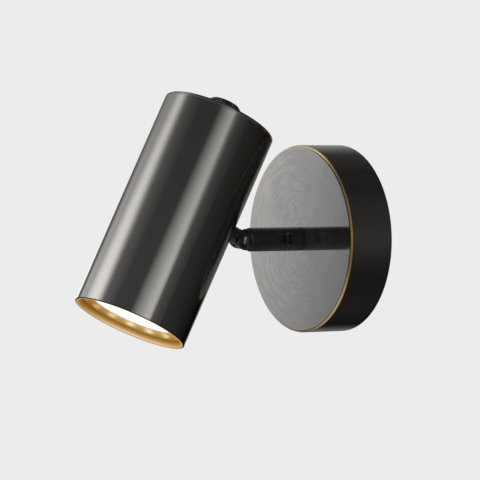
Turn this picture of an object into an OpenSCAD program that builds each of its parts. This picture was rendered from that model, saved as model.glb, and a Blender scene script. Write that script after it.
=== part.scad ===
// Wall spotlight: a round canopy, a short arm that swivels on it, a knuckle, and a tube shade
// with a rotary switch on its closed end and a twist-lock reflector lamp in its open one.
// The origin is the centre of the canopy's back edge, on the wall. The arm leaves along -Y, and
// up is +Z. Sizes are in millimetres.

/* [Canopy] */
// Diameter of the canopy
canopy_d = 100; // [92:1:120]
// Depth of the canopy, from the wall to its face
canopy_h = 25.5; // [25:0.5:34]
// Thickness of the canopy's sheet metal
canopy_wall = 1.2; // [1:0.1:2]
// Radius of the polished edge round the face
canopy_edge = 1.2; // [1:0.1:2.4]

/* [Wall bracket] */
// Width of the strap that is screwed to the wall
strap_w = 16; // [15:0.5:20]
// Thickness of the strap
strap_t = 1.6; // [1.2:0.1:2]
// Width of the two bent ears
ear_w = 12; // [8:0.5:14]
// Depth of the ears, from the wall
ear_h = 14; // [12:0.5:18]
// Distance of the canopy screws from the wall
ear_screw_h = 9; // [7:0.5:10]
// Distance between the two slots for wall screws
slot_pitch = 70; // [64:1:74]
// Length of a slot, end to end
slot_len = 12; // [8:0.5:14]
// Width of a slot
slot_w = 4.5; // [4:0.1:5]
// Diameter of the hole for the mains cable
cable_hole_d = 10; // [8:0.5:11]
// Diameter of the canopy's set screws
set_screw_d = 4; // [3:0.5:5]
// Length of the canopy's set screws
set_screw_l = 8; // [6:0.5:10]
// Distance of the earth screw from the middle of the strap
earth_at = 19; // [16:0.5:22]
// Diameter of the earth screw
earth_d = 4; // [3:0.5:5]

/* [Terminal block] */
// Distance between the poles
pole_pitch = 8; // [7.5:0.1:9]
// Length of the block along the wires
block_l = 14; // [12:0.5:16]
// Height of the block
block_h = 9; // [8:0.5:9.5]
// Distance of the block's middle from the middle of the strap
block_at = 18.5; // [17:0.5:20]
// Diameter of the brass sleeves
pole_d = 4.2; // [3.8:0.1:4.6]
// Diameter of the clamp screws
clamp_screw_d = 2.6; // [2:0.1:3]

/* [Swivel] */
// Thread diameter of the stud through the canopy
stud_d = 8; // [7:0.5:9]
// Bore of the stud, which the leads pass through
stud_bore_d = 5; // [4.6:0.1:5.4]
// Length of the stud behind the canopy's face
stud_tail = 12; // [11:0.5:13]
// Size of the stud's nut across its flats
stud_nut_af = 13; // [12:0.5:14]
// Thickness of the stud's nut
stud_nut_h = 4; // [3:0.5:5]
// Thickness of the star washers
star_t = 0.6; // [0.4:0.1:1]
// Thickness of the washer that the arm turns on
swivel_washer_t = 0.3; // [0.2:0.1:1]
// Distance of the stop screw from the canopy's face
stop_at = 11.2; // [8:0.1:16]
// Diameter of the stop screw's tip
stop_tip_d = 2; // [1.6:0.1:2.4]
// Diameter of the stop screw's thread
stop_screw_d = 3; // [2.6:0.1:3.4]
// Diameter of the stop screw's head
stop_head_d = 6.6; // [6:0.1:7.2]
// Height of the stop screw's head
stop_head_h = 2.2; // [1.6:0.1:3]
// Depth of the groove that the stop screw runs in
stop_groove = 1.1; // [0.8:0.1:1.3]
// Angle of the rib that ends the groove
stop_rib = 10; // [6:1:12]

/* [Arm and knuckle] */
// Diameter of the arm's sleeve
arm_d = 12.6; // [11.4:0.1:13]
// Wall of the arm's sleeve
sleeve_wall = 0.8; // [0.6:0.1:1]
// Length of the arm's sleeve
sleeve_l = 31.5; // [28:0.5:45]
// Bevel at each end of the sleeve
sleeve_bevel = 0.5; // [0.2:0.1:0.6]
// Length of the fork's shank inside the sleeve
shank_l = 5; // [4:0.5:7]
// Length of the fork's collar
collar_l = 3.2; // [2.6:0.1:3.4]
// Thickness of the disc between stud and fork
friction_t = 0.5; // [0.3:0.1:1]
// Radius of the knuckle's round end
knuckle_r = 5.1; // [4.5:0.1:5.2]
// Distance of the pivot from the sleeve's end
pivot_out = 3.9; // [3.6:0.1:4.4]
// Thickness of the tongue between the fork's cheeks
tongue_t = 4.2; // [3.8:0.1:4.4]
// Thickness of each washer beside the tongue
pivot_washer_t = 0.25; // [0.2:0.05:0.3]
// Diameter of the pivot screw
pivot_d = 2.5; // [2:0.1:2.8]
// Diameter of the pivot screw's head
pivot_head_d = 4.8; // [4.2:0.1:5]
// Width of the slot in the tongue for the leads
lead_slot_w = 2; // [1.8:0.1:2.2]

/* [Shade] */
// Tilt of the shade from upright, mouth outwards
tilt = 27.4; // [0:0.2:45]
// Diameter of the shade tube
shade_d = 61; // [60:0.5:70]
// Wall of the shade tube
shade_wall = 1.4; // [1:0.1:1.6]
// Distance from the lug down to the mouth
mouth_drop = 68.9; // [68:0.1:80]
// Distance from the lug up to the closed end
top_rise = 50.7; // [50:0.1:60]
// Thickness of the top cap
cap_t = 1.6; // [1.2:0.1:2.4]
// Radius of the rounded edge round the top cap
cap_edge = 1.3; // [0.4:0.1:2]
// Depth of the cap's rim inside the tube
cap_rim_h = 6; // [4:0.5:8]
// Distance from the shade's surface to the pivot
lug_l = 11; // [10.6:0.1:14]
// Diameter of the lug
lug_d = 9; // [8:0.1:9.2]
// Thread diameter of the lug inside the shade
lug_thread_d = 8; // [7:0.1:8]
// Wall of the bright liner in the mouth
liner_wall = 0.8; // [0.6:0.1:1.2]
// Length of the bright liner
liner_l = 18; // [14:0.5:20]
// Distance that the liner stands back from the shade's lip
liner_back = 0.4; // [0:0.1:1]

/* [Lampholder] */
// Diameter of the ceramic lampholder
holder_d = 26; // [24:0.5:28]
// Height of the ceramic lampholder
holder_h = 18; // [16:0.5:20]
// Width of the bracket that carries the lampholder
bracket_w = 16; // [14:0.5:17]
// Thickness of the bracket
bracket_t = 1.2; // [1:0.1:1.6]
// Distance between the two holder screws
holder_screw_pitch = 17; // [15:0.5:19]
// Diameter of the holder screws
holder_screw_d = 3; // [2.5:0.1:3.5]
// Smallest thickness of the saddle inside the shade
saddle_t = 1.9; // [1.5:0.1:2.5]

/* [Lamp] */
// Diameter of the lamp
lamp_d = 50; // [48:0.5:50.5]
// Length of the lamp without its pins
lamp_l = 54; // [52:0.5:56]
// Depth of the lamp's face inside the mouth
lamp_recess = 5.5; // [3:0.5:8]
// Diameter of the lens
lens_d = 44.6; // [42:0.2:46]
// Height of the lamp's front ring
ring_h = 4; // [3.4:0.1:5]
// Wall of the lamp's housing
housing_wall = 1.5; // [1:0.1:2]
// Distance between the pins
pin_pitch = 10; // [9:0.5:11]
// Diameter of a pin's head
pin_head_d = 5; // [4.5:0.1:5.2]
// Diameter of a pin's neck
pin_neck_d = 3.2; // [2.8:0.1:3.4]
// Length of a pin
pin_l = 7; // [6.5:0.1:7.5]
// Turn that locks the lamp
lock_turn = 25; // [15:1:30]
// Chips in the outer ring
outer_chips = 12; // [8:1:14]
// Chips in the inner ring
inner_chips = 6; // [3:1:7]

/* [Switch and knob] */
// Diameter of the switch body
switch_d = 18; // [16:0.5:22]
// Height of the switch body
switch_h = 16; // [14:0.5:18]
// Diameter of the switch's threaded bush
bush_d = 8; // [7:0.5:9]
// Thickness of the switch's nut
switch_nut_h = 2.2; // [1.8:0.1:3]
// Size of the switch's nut across its flats
switch_nut_af = 11; // [10:0.5:11.5]
// Diameter of the switch's spindle
spindle_d = 5; // [4:0.1:6]
// Diameter of the knob
knob_d = 17.3; // [17:0.1:22]
// Height of the knob's top above the cap
knob_h = 8.5; // [8.2:0.1:12]
// Number of flutes round the knob
knob_flutes = 30; // [16:1:40]
// Depth of the knob's flutes
flute_depth = 0.35; // [0.2:0.05:0.5]

/* [Leads] */
// Diameter of an insulated lead
lead_d = 1.3; // [1:0.1:1.4]

/* [Fits] */
// Radial play of a part that turns on another
run_fit = 0.05; // [0.02:0.01:0.08]
// Radial play of a part that is screwed or pushed into another
push_fit = 0.02; // [0.01:0.01:0.04]
// Gap between parts that pass without touching
air_gap = 0.3; // [0.2:0.05:0.4]

/* [Hidden] */
$fn = 96;

bronze = [0.13, 0.12, 0.11];
black = [0.06, 0.06, 0.065];
gunmetal = [0.25, 0.25, 0.24];
brass = [0.80, 0.62, 0.32];
gold = [0.88, 0.68, 0.34];
zinc = [0.68, 0.69, 0.70];
nylon = [0.92, 0.91, 0.87];
ceramic = [0.90, 0.88, 0.82];
white = [0.94, 0.94, 0.92];
copper = [0.72, 0.45, 0.25];
brown_pvc = [0.35, 0.18, 0.08];
blue_pvc = [0.10, 0.25, 0.60];
earth_pvc = [0.45, 0.65, 0.15];
warm_light = [1.0, 0.93, 0.75];
board_green = [0.10, 0.35, 0.20];

// A cut runs past the surface by this much, and into the cut that it meets by that
past = 1;
meet = 0.01;

// The canopy and the bracket behind it
canopy_r = canopy_d / 2;
canopy_inner_r = canopy_r - canopy_wall;
face_in = canopy_h - canopy_wall;
ear_out = sqrt(pow(canopy_inner_r, 2) - pow(strap_w / 2, 2)) - air_gap;
set_screw_end = canopy_r - 0.2;
socket_af = set_screw_d / 2;
ring_terminal_t = 0.8;
earth_head_d = 1.75 * earth_d;
earth_head_h = 0.6 * earth_d;
poles = [-pole_pitch, 0, pole_pitch];
block_w = 3 * pole_pitch;
pole_l = block_l - 2.4;
pole_bore_d = 0.6 * pole_d;
pole_z = strap_t + 0.45 * block_h;
clamp_spread = 0.24 * block_l;
block_screw_d = pole_pitch - pole_d - 1.4;
block_screw_head_h = 1.6;
screw_slot_w = 0.6;

// The stud, the sleeve round it and the stop screw between them
stud_r = stud_d / 2;
sleeve_r = arm_d / 2;
sleeve_bore_r = sleeve_r - sleeve_wall;
journal_r = sleeve_bore_r - run_fit;
sleeve_back = canopy_h + swivel_washer_t;
sleeve_front = sleeve_back + sleeve_l;
shank_back = sleeve_front - shank_l;
stud_front = shank_back - friction_t;
core_off = lead_d / 2 + 0.3;
stud_back = face_in - stud_tail;
star_back = face_in - star_t;
stop_z = canopy_h + stop_at;
saddle_top = sleeve_r + 0.6;
groove_w = stop_tip_d + 0.4;
bush_flange_t = 0.8;
bush_l = 4;

// The knuckle: fork cheeks on the arm, tongue on the shade's lug
pivot_z = sleeve_front + pivot_out;
cheek_gap = tongue_t + 2 * pivot_washer_t;
tongue_r = knuckle_r - air_gap;
slot_floor = pivot_z - tongue_r - 0.4;
head_seat = knuckle_r - 0.8;
pivot_head_h = 1.4;
pivot_nut_h = 1.3;
pivot_nut_af = 1.75 * pivot_d;
hub_r = pivot_d / 2 + 0.75;
lead_off = hub_r + lead_d / 2;

// The shade, worked in its own frame: z runs up the tube, y points to the pivot
shade_r = shade_d / 2;
shade_bore_r = shade_r - shade_wall;
lug_reach = shade_r + lug_l;
cap_bottom = top_rise - cap_t;
switch_bottom = cap_bottom - switch_h;
seam_bevel = 0.2;
lug_r = lug_d / 2;
lug_end = lug_reach - knuckle_r - air_gap;
saddle_r = 7;
saddle_flat = sqrt(pow(shade_bore_r, 2) - pow(saddle_r, 2)) - saddle_t;
flange_in = saddle_flat - bracket_t;
lug_star_in = flange_in - star_t;
lug_nut_h = 3.5;
lug_nut_in = lug_star_in - lug_nut_h;
lug_tail_in = lug_nut_in - 0.8;
lug_bore_r = lead_off + lead_d / 2 + 0.05;

// The lamp and its holder, in the same frame
lamp_front = lamp_recess - mouth_drop;
lamp_back = lamp_front + lamp_l;
lamp_r = lamp_d / 2;
holder_face = lamp_back + air_gap;
holder_top = holder_face + holder_h;
shelf_top = holder_top + bracket_t;
pin_tip = lamp_back + pin_l;
pin_head_h = 2;
pin_play = 0.3;
lens_r = lens_d / 2;
lens_t = 2.4;
board_r = lens_r - 2.3;
board_t = 1.6;
board_front = lamp_front + ring_h + 2.2;
spreader_t = 1.6;
chip = 3.2;
chip_t = 0.8;
outer_chip_r = board_r - 4;
inner_chip_r = outer_chip_r / 2;
housing_front = lamp_front + ring_h;
housing_base_r = 11.5;
waist_r = lamp_r - 2.4;
waist_z = housing_front + 13;
liner_r = shade_bore_r - push_fit;
liner_front = liner_back - mouth_drop;
neck_r = lamp_r + 0.4;

// The switch and the knob, in the same frame
bush_r = bush_d / 2;
bush_top = top_rise + switch_nut_h + 1.2;
spindle_r = spindle_d / 2;
knob_r = knob_d / 2;
knob_bottom = top_rise + air_gap;
knob_top = top_rise + knob_h;
knob_recess_top = top_rise + switch_nut_h + air_gap;
spindle_top = knob_top - 1.5;
spindle_bottom = top_rise - 8;
knob_screw_d = 2.6;
knob_screw_z = (bush_top + spindle_top) / 2 + 0.3;

// Frames

module out_from_wall() {
    rotate([90, 0, 0]) children();
}

module in_head() {
    translate([0, -pivot_z, 0]) rotate([-tilt, 0, 0]) translate([0, -lug_reach, 0]) children();
}

// Turns a child that rises along z so that it runs along +x, or along +y
module along_x() {
    rotate([0, 90, 0]) children();
}

module along_y() {
    rotate([-90, 0, 0]) children();
}

// Shapes that several parts share

module ring(outer_r, inner_r, h) {
    difference() {
        cylinder(r = outer_r, h = h);
        translate([0, 0, -past]) cylinder(r = inner_r, h = h + 2 * past);
    }
}

module hex_nut(af, bore_r, h) {
    difference() {
        cylinder(r = af / 2 / cos(30), h = h, $fn = 6);
        translate([0, 0, -past]) cylinder(r = bore_r, h = h + 2 * past);
    }
}

module star_washer(inner_r, outer_r) {
    teeth = 12;
    difference() {
        ring(outer_r, inner_r, star_t);
        for (i = [0 : teeth - 1]) rotate([0, 0, i * 360 / teeth])
            translate([outer_r - 1, -0.35, -past]) cube([2, 0.7, star_t + 2 * past]);
    }
}

// A screw with a flat head and a slot: its shank hangs below z = 0 and its head stands above
module slotted_screw(shank_r, shank_l, head_r, head_h) {
    translate([0, 0, -shank_l]) cylinder(r = shank_r, h = shank_l + head_h / 2);
    difference() {
        cylinder(r = head_r, h = head_h);
        translate([-head_r - past, -screw_slot_w / 2, head_h / 2])
            cube([2 * (head_r + past), screw_slot_w, head_h]);
    }
}

// Outline of a wheel with vee-shaped flutes
module fluted_outline(r, flutes, depth) {
    polygon([for (i = [0 : 2 * flutes - 1])
        let (a = i * 180 / flutes, rr = i % 2 == 0 ? r : r - depth) [rr * cos(a), rr * sin(a)]]);
}

// A lead is a tube swept along a smooth curve through a few points
function unit(v) = v / norm(v);
function curve_at(a, b, c, d, t) =
    0.5 * (2 * b + (c - a) * t + (2 * a - 5 * b + 4 * c - d) * t * t
        + (3 * b - a - 3 * c + d) * t * t * t);
function curve(p, steps) = let (n = len(p) - 1)
    [for (i = [0 : n - 1], k = [0 : steps - 1])
        curve_at(p[max(i - 1, 0)], p[i], p[i + 1], p[min(i + 2, n)], k / steps), p[n]];
function headings(q) = let (n = len(q) - 1)
    [for (i = [0 : n]) unit(q[min(i + 1, n)] - q[max(i - 1, 0)])];
function carried(side, t) = unit(side - t * (side * t));
function sides_along(t, first) =
    [for (i = 0, s = carried(first, t[0]); i < len(t);
        i = i + 1, s = i < len(t) ? carried(s, t[i]) : s) s];

module lead(points, first_side = [1, 0, 0]) {
    steps = 4;
    corners = 8;
    q = curve(points, steps);
    t = headings(q);
    s = sides_along(t, first_side);
    rings = len(q);
    verts = [for (i = [0 : rings - 1], k = [0 : corners - 1])
        q[i] + lead_d / 2 * (cos(k * 360 / corners) * s[i]
            + sin(k * 360 / corners) * cross(t[i], s[i]))];
    walls = [for (i = [0 : rings - 2], k = [0 : corners - 1]) let (m = (k + 1) % corners)
        [i * corners + k, (i + 1) * corners + k, (i + 1) * corners + m, i * corners + m]];
    start = [for (k = [0 : corners - 1]) k];
    end = [for (k = [corners - 1 : -1 : 0]) (rings - 1) * corners + k];
    polyhedron(points = verts, faces = concat([start], walls, [end]));
}

// Parts behind and in the canopy

// The sheet is drawn over a round edge, so its inner corner is rounded too
module canopy() {
    edge_steps = 8;
    inner_edge = max(canopy_edge - canopy_wall, 0.2);
    function edge_arc(r, top, radius) = [for (i = [0 : edge_steps]) let (a = i * 90 / edge_steps)
        [r - radius + radius * cos(a), top - radius + radius * sin(a)]];
    color(bronze) out_from_wall() difference() {
        rotate_extrude() polygon(concat(
            [[stud_r + push_fit, canopy_h], [stud_r + push_fit, face_in]],
            [for (i = [edge_steps : -1 : 0]) edge_arc(canopy_inner_r, face_in, inner_edge)[i]],
            [[canopy_inner_r, 0], [canopy_r, 0]],
            edge_arc(canopy_r, canopy_h, canopy_edge)));
        for (side = [0, 180]) rotate([0, 0, side]) translate([0, 0, ear_screw_h])
            along_y() cylinder(d = set_screw_d + 2 * push_fit, h = canopy_r + past);
    }
}

module wall_slot() {
    reach = (slot_len - slot_w) / 2;
    translate([0, 0, -past]) {
        translate([-slot_w / 2, -reach, 0]) cube([slot_w, 2 * reach, strap_t + 2 * past]);
        for (end = [-1, 1]) translate([0, end * reach, 0])
            cylinder(d = slot_w, h = strap_t + 2 * past);
    }
}

module wall_bracket() {
    color(zinc) out_from_wall() difference() {
        union() {
            translate([-strap_w / 2, -ear_out, 0]) cube([strap_w, 2 * ear_out, strap_t]);
            for (side = [0, 180]) rotate([0, 0, side])
                translate([-ear_w / 2, ear_out - strap_t, 0]) cube([ear_w, strap_t, ear_h]);
        }
        for (side = [-1, 1]) translate([0, side * slot_pitch / 2, 0]) wall_slot();
        translate([0, 0, -past]) cylinder(d = cable_hole_d, h = strap_t + 2 * past);
        translate([0, earth_at, -past])
            cylinder(d = earth_d + 2 * push_fit, h = strap_t + 2 * past);
        for (side = [-1, 1]) translate([side * pole_pitch / 2, -block_at, -past])
            cylinder(d = block_screw_d + 2 * push_fit, h = strap_t + 2 * past);
        for (side = [0, 180]) rotate([0, 0, side]) translate([0, 0, ear_screw_h])
            along_y() cylinder(d = set_screw_d + 2 * push_fit, h = canopy_r);
    }
}

module canopy_screws() {
    color(zinc) out_from_wall() for (side = [0, 180]) rotate([0, 0, side])
        translate([0, set_screw_end - set_screw_l, ear_screw_h]) along_y() difference() {
            cylinder(d = set_screw_d, h = set_screw_l);
            translate([0, 0, set_screw_l - socket_af])
                cylinder(r = socket_af / 2 / cos(30), h = set_screw_l, $fn = 6);
        }
}

module earth_screw() {
    color(brass) out_from_wall() translate([0, earth_at, strap_t + ring_terminal_t])
        slotted_screw(earth_d / 2, strap_t + ring_terminal_t, earth_head_d / 2, earth_head_h);
}

module terminal_block() {
    color(nylon) out_from_wall() translate([0, -block_at, 0]) difference() {
        translate([-block_w / 2, -block_l / 2, strap_t]) cube([block_w, block_l, block_h]);
        for (x = poles) {
            translate([x, -block_l / 2 - past, pole_z])
                along_y() cylinder(d = pole_d + 2 * push_fit, h = block_l + 2 * past);
            for (side = [-1, 1]) translate([x, side * clamp_spread, pole_z])
                cylinder(d = clamp_screw_d + 2 * push_fit, h = block_h);
        }
        for (side = [-1, 1]) translate([side * pole_pitch / 2, 0, 0])
            cylinder(d = block_screw_d + 2 * push_fit, h = strap_t + block_h + past);
    }
}

module terminal_sleeves() {
    color(brass) out_from_wall() translate([0, -block_at, 0]) for (x = poles) difference() {
        translate([x, -pole_l / 2, pole_z]) along_y() cylinder(d = pole_d, h = pole_l);
        translate([x, -pole_l / 2 - past, pole_z])
            along_y() cylinder(d = pole_bore_d, h = pole_l + 2 * past);
        for (side = [-1, 1]) translate([x, side * clamp_spread, pole_z])
            cylinder(d = clamp_screw_d + 2 * push_fit, h = block_h);
    }
}

// A clamp screw's tip stops just above the lead
module terminal_screws() {
    tip_z = pole_z + lead_d / 2 + 0.05;
    screw_l = strap_t + block_h - 0.6 - tip_z;
    color(zinc) out_from_wall() for (x = poles, side = [-1, 1])
        translate([x, side * clamp_spread - block_at, tip_z]) difference() {
            cylinder(d = clamp_screw_d, h = screw_l);
            translate([-clamp_screw_d, -screw_slot_w / 2, screw_l - 0.8])
                cube([2 * clamp_screw_d, screw_slot_w, screw_l]);
        }
}

module block_screws() {
    color(zinc) out_from_wall() for (side = [-1, 1])
        translate([side * pole_pitch / 2, -block_at, strap_t + block_h])
            slotted_screw(block_screw_d / 2, strap_t + block_h, block_screw_d * 0.8,
                block_screw_head_h);
}

module swivel_stud() {
    color(brass) out_from_wall() difference() {
        union() {
            translate([0, 0, stud_back]) cylinder(r = stud_r, h = canopy_h - stud_back + past);
            translate([0, 0, canopy_h]) cylinder(r = journal_r, h = stud_front - canopy_h);
        }
        translate([0, 0, stud_back - past])
            cylinder(d = stud_bore_d, h = stud_front - stud_back + 2 * past);
        rotate([0, 0, 180 + stop_rib / 2]) rotate_extrude(angle = 360 - stop_rib)
            translate([journal_r - stop_groove, stop_z - groove_w / 2])
                square([stop_groove + past, groove_w]);
    }
}

module stud_star_washer() {
    color(zinc) out_from_wall() translate([0, 0, star_back])
        star_washer(stud_r + push_fit, stud_nut_af / 2 + 0.4);
}

module stud_nut() {
    color(zinc) out_from_wall() translate([0, 0, star_back - stud_nut_h])
        hex_nut(stud_nut_af, stud_r + push_fit, stud_nut_h);
}

module wire_bush() {
    bush_bore_r = stud_bore_d / 2 - 0.6;
    color(nylon) out_from_wall() {
        translate([0, 0, stud_back - bush_flange_t])
            ring(stud_r, bush_bore_r, bush_flange_t);
        translate([0, 0, stud_back - push_fit])
            ring(stud_bore_d / 2 - push_fit, bush_bore_r, bush_l);
    }
}

// Each lead enters a pole's sleeve, crosses to the stud and runs up its bore
module base_lead(pole, off) {
    mouth = -block_at + pole_l / 2;
    out_from_wall() lead([
        [pole, mouth - 4, pole_z], [pole, mouth, pole_z], [pole, mouth + 3, pole_z],
        [0.5 * pole + off, -3.5, pole_z + 2], [off, 0, stud_back - 1.5], [off, 0, stud_back + 3],
        [off, 0, (stud_back + stud_front) / 2], [off, 0, stud_front]]);
}

module base_live_lead() {
    color(brown_pvc) base_lead(-pole_pitch, -core_off);
}

module base_neutral_lead() {
    color(blue_pvc) base_lead(pole_pitch, core_off);
}

// The earth lead goes from the middle pole round the stud to a ring under the earth screw
module earth_lead() {
    ring_r = earth_head_d / 2 + 0.3;
    side = cable_hole_d / 2 + 4;
    mouth = -block_at + pole_l / 2;
    lead_z = strap_t + ring_terminal_t + lead_d / 2;
    color(earth_pvc) out_from_wall() {
        translate([0, earth_at, strap_t])
            ring(ring_r, earth_d / 2 + push_fit, ring_terminal_t);
        lead([[0, mouth - 4, pole_z], [0, mouth, pole_z], [0.6, mouth + 2.6, pole_z],
            [side / 2 + 1, -5.2, pole_z], [side, 0, pole_z - 0.6], [side, 6, lead_z + 1.2],
            [side - 3, 12, lead_z + 0.2], [ring_r - 0.8, earth_at - 2.6, lead_z]]);
    }
}

module swivel_washer() {
    color(nylon) out_from_wall() translate([0, 0, canopy_h])
        ring(sleeve_r - 0.1, journal_r + push_fit, swivel_washer_t);
}

// Parts that turn with the arm

module arm_sleeve() {
    color(black) out_from_wall() difference() {
        rotate_extrude() polygon([
            [sleeve_bore_r, sleeve_back], [sleeve_r - sleeve_bevel, sleeve_back],
            [sleeve_r, sleeve_back + sleeve_bevel], [sleeve_r, sleeve_front - sleeve_bevel],
            [sleeve_r - sleeve_bevel, sleeve_front], [sleeve_bore_r, sleeve_front]]);
        translate([0, 0, stop_z]) along_x()
            cylinder(d = stop_screw_d + 2 * push_fit, h = sleeve_r + past);
    }
}

module stop_screw() {
    slot_depth = stop_head_h / 2;
    color(gunmetal) out_from_wall() translate([0, 0, stop_z]) along_x() {
        translate([0, 0, journal_r - stop_groove + 0.2])
            cylinder(d = stop_tip_d, h = stop_groove);
        translate([0, 0, sleeve_bore_r]) cylinder(d = stop_screw_d, h = saddle_top - sleeve_bore_r);
        translate([0, 0, saddle_top]) difference() {
            linear_extrude(stop_head_h) fluted_outline(stop_head_d / 2, 20, 0.3);
            for (turn = [0, 90]) rotate([0, 0, turn])
                translate([-stop_head_d / 2 - past, -screw_slot_w / 2, stop_head_h - slot_depth])
                    cube([stop_head_d + 2 * past, screw_slot_w, stop_head_h]);
        }
    }
}

module screw_saddle() {
    color(black) out_from_wall() translate([0, 0, stop_z]) difference() {
        along_x() ring(stop_head_d / 2, stop_screw_d / 2 + push_fit, saddle_top);
        translate([0, 0, -stop_head_d]) cylinder(r = sleeve_r + push_fit, h = 2 * stop_head_d);
    }
}

module friction_disc() {
    color(nylon) out_from_wall() translate([0, 0, stud_front])
        ring(journal_r, stud_bore_d / 2, friction_t);
}

module arm_fork() {
    collar_front = sleeve_front + collar_l;
    color(black) out_from_wall() difference() {
        union() {
            rotate_extrude() polygon([
                [0, shank_back], [sleeve_bore_r - push_fit, shank_back],
                [sleeve_bore_r - push_fit, sleeve_front], [sleeve_r - 0.1, sleeve_front],
                [sleeve_r - 0.1, sleeve_front + 0.5], [knuckle_r + 0.6, collar_front - 0.5],
                [knuckle_r + 0.2, collar_front], [0, collar_front]]);
            intersection() {
                translate([0, 0, shank_back])
                    cylinder(r = knuckle_r, h = pivot_z + 2 * knuckle_r - shank_back);
                union() {
                    translate([-knuckle_r, -knuckle_r, sleeve_front])
                        cube([2 * knuckle_r, 2 * knuckle_r, pivot_out]);
                    translate([-knuckle_r, 0, pivot_z])
                        along_x() cylinder(r = knuckle_r, h = 2 * knuckle_r);
                }
            }
        }
        translate([0, 0, shank_back - past])
            cylinder(d = stud_bore_d + 0.2, h = slot_floor - shank_back + 2 * past);
        translate([-cheek_gap / 2, -arm_d, slot_floor])
            cube([cheek_gap, 2 * arm_d, 4 * knuckle_r]);
        translate([-arm_d, 0, pivot_z])
            along_x() cylinder(d = pivot_d + 2 * push_fit, h = 2 * arm_d);
        translate([head_seat, 0, pivot_z])
            along_x() cylinder(d = pivot_head_d + 0.3, h = knuckle_r);
        translate([-head_seat - knuckle_r, 0, pivot_z])
            along_x() cylinder(d = pivot_head_d + 0.3, h = knuckle_r);
    }
}

// The pivot screw's head is domed, with a slot across it
module pivot_screw() {
    dome_steps = 8;
    rim_h = 0.4;
    head_r = pivot_head_d / 2;
    reach = 2 * head_seat + pivot_nut_h;
    color(gunmetal) out_from_wall() translate([head_seat, 0, pivot_z]) along_x() {
        translate([0, 0, -reach]) cylinder(d = pivot_d, h = reach + rim_h);
        difference() {
            rotate_extrude() polygon(concat([[0, 0], [head_r, 0]],
                [for (i = [0 : dome_steps]) let (a = i * 90 / dome_steps)
                    [head_r * cos(a), rim_h + (pivot_head_h - rim_h) * sin(a)]]));
            translate([-head_r - past, -screw_slot_w / 2, pivot_head_h - 0.6])
                cube([2 * (head_r + past), screw_slot_w, pivot_head_h]);
        }
    }
}

module pivot_nut() {
    color(gunmetal) out_from_wall() translate([-head_seat - pivot_nut_h, 0, pivot_z])
        along_x() hex_nut(pivot_nut_af, pivot_d / 2 + push_fit, pivot_nut_h);
}

module pivot_washers() {
    color(brass) out_from_wall() for (side = [-1, 1])
        translate([side * (tongue_t + pivot_washer_t) / 2 - pivot_washer_t / 2, 0, pivot_z])
            along_x() ring(tongue_r - 0.6, pivot_d / 2 + push_fit, pivot_washer_t);
}

module arm_lead(off) {
    out_from_wall() lead([[off, 0, stud_front + 0.05], [off, 0, shank_back + 1],
        [off, 0.2 * sign(off), slot_floor - 1.5], [off, 0.4 * sign(off), slot_floor - 0.1]]);
}

module arm_live_lead() {
    color(brown_pvc) arm_lead(-core_off);
}

module arm_neutral_lead() {
    color(blue_pvc) arm_lead(core_off);
}

// Parts that tilt with the shade

module head_lug() {
    web_h = 2 * (lug_r - 0.5);
    color(black) in_head() difference() {
        union() {
            difference() {
                along_y() cylinder(r = lug_r, h = lug_end);
                translate([0, 0, -arm_d]) cylinder(r = shade_r, h = 2 * arm_d);
            }
            translate([0, lug_tail_in, 0])
                along_y() cylinder(d = lug_thread_d, h = shade_r - lug_tail_in + 1);
            translate([-tongue_t / 2, lug_end - past, -web_h / 2])
                cube([tongue_t, lug_reach - lug_end + past, web_h]);
            translate([-tongue_t / 2, lug_reach, 0])
                along_x() cylinder(r = tongue_r, h = tongue_t);
        }
        translate([0, lug_tail_in - past, 0])
            along_y() cylinder(r = lug_bore_r, h = lug_end - lug_tail_in);
        difference() {
            translate([-lead_slot_w / 2, lug_end - 2 * past, -lead_off - lead_d / 2 - 0.1])
                cube([lead_slot_w, 2 * knuckle_r + 4, 2 * lead_off + lead_d + 0.2]);
            translate([-lead_slot_w, lug_reach, 0])
                along_x() cylinder(r = hub_r, h = 2 * lead_slot_w);
        }
        translate([-tongue_t, lug_reach, 0])
            along_x() cylinder(r = pivot_d / 2 + run_fit, h = 2 * tongue_t);
    }
}

module lug_saddle() {
    color(zinc) in_head() difference() {
        intersection() {
            translate([0, saddle_flat, 0]) along_y() cylinder(r = saddle_r, h = shade_wall + saddle_r);
            translate([0, 0, -saddle_r - past])
                cylinder(r = shade_bore_r - push_fit, h = 2 * (saddle_r + past));
        }
        along_y() cylinder(d = lug_thread_d + 2 * push_fit, h = shade_d);
    }
}

module lug_star_washer() {
    color(zinc) in_head() translate([0, lug_star_in, 0]) along_y()
        star_washer(lug_thread_d / 2 + push_fit, stud_nut_af / 2 + 0.4);
}

module lug_nut() {
    color(zinc) in_head() translate([0, lug_nut_in, 0]) along_y()
        hex_nut(stud_nut_af, lug_thread_d / 2 + push_fit, lug_nut_h);
}

module shade_tube() {
    lip = 0.3;
    color(gunmetal) in_head() difference() {
        rotate_extrude() polygon([
            [shade_bore_r, -mouth_drop], [shade_r - lip, -mouth_drop],
            [shade_r, lip - mouth_drop], [shade_r, cap_bottom - seam_bevel],
            [shade_r - seam_bevel, cap_bottom], [shade_bore_r, cap_bottom]]);
        along_y() cylinder(d = lug_thread_d + 2 * push_fit, h = shade_d);
    }
}

// The liner shows bright at the mouth and steps in round the lamp's front ring
module shade_liner() {
    color(gold) in_head() rotate_extrude() polygon([
        [liner_r - liner_wall, liner_front], [liner_r, liner_front],
        [liner_r, liner_front + liner_l], [liner_r - liner_wall, liner_front + liner_l],
        [liner_r - liner_wall, lamp_front + liner_wall], [neck_r + liner_wall, lamp_front + liner_wall],
        [neck_r + liner_wall, lamp_front + ring_h], [neck_r, lamp_front + ring_h],
        [neck_r, lamp_front], [liner_r - liner_wall, lamp_front]]);
}

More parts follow.
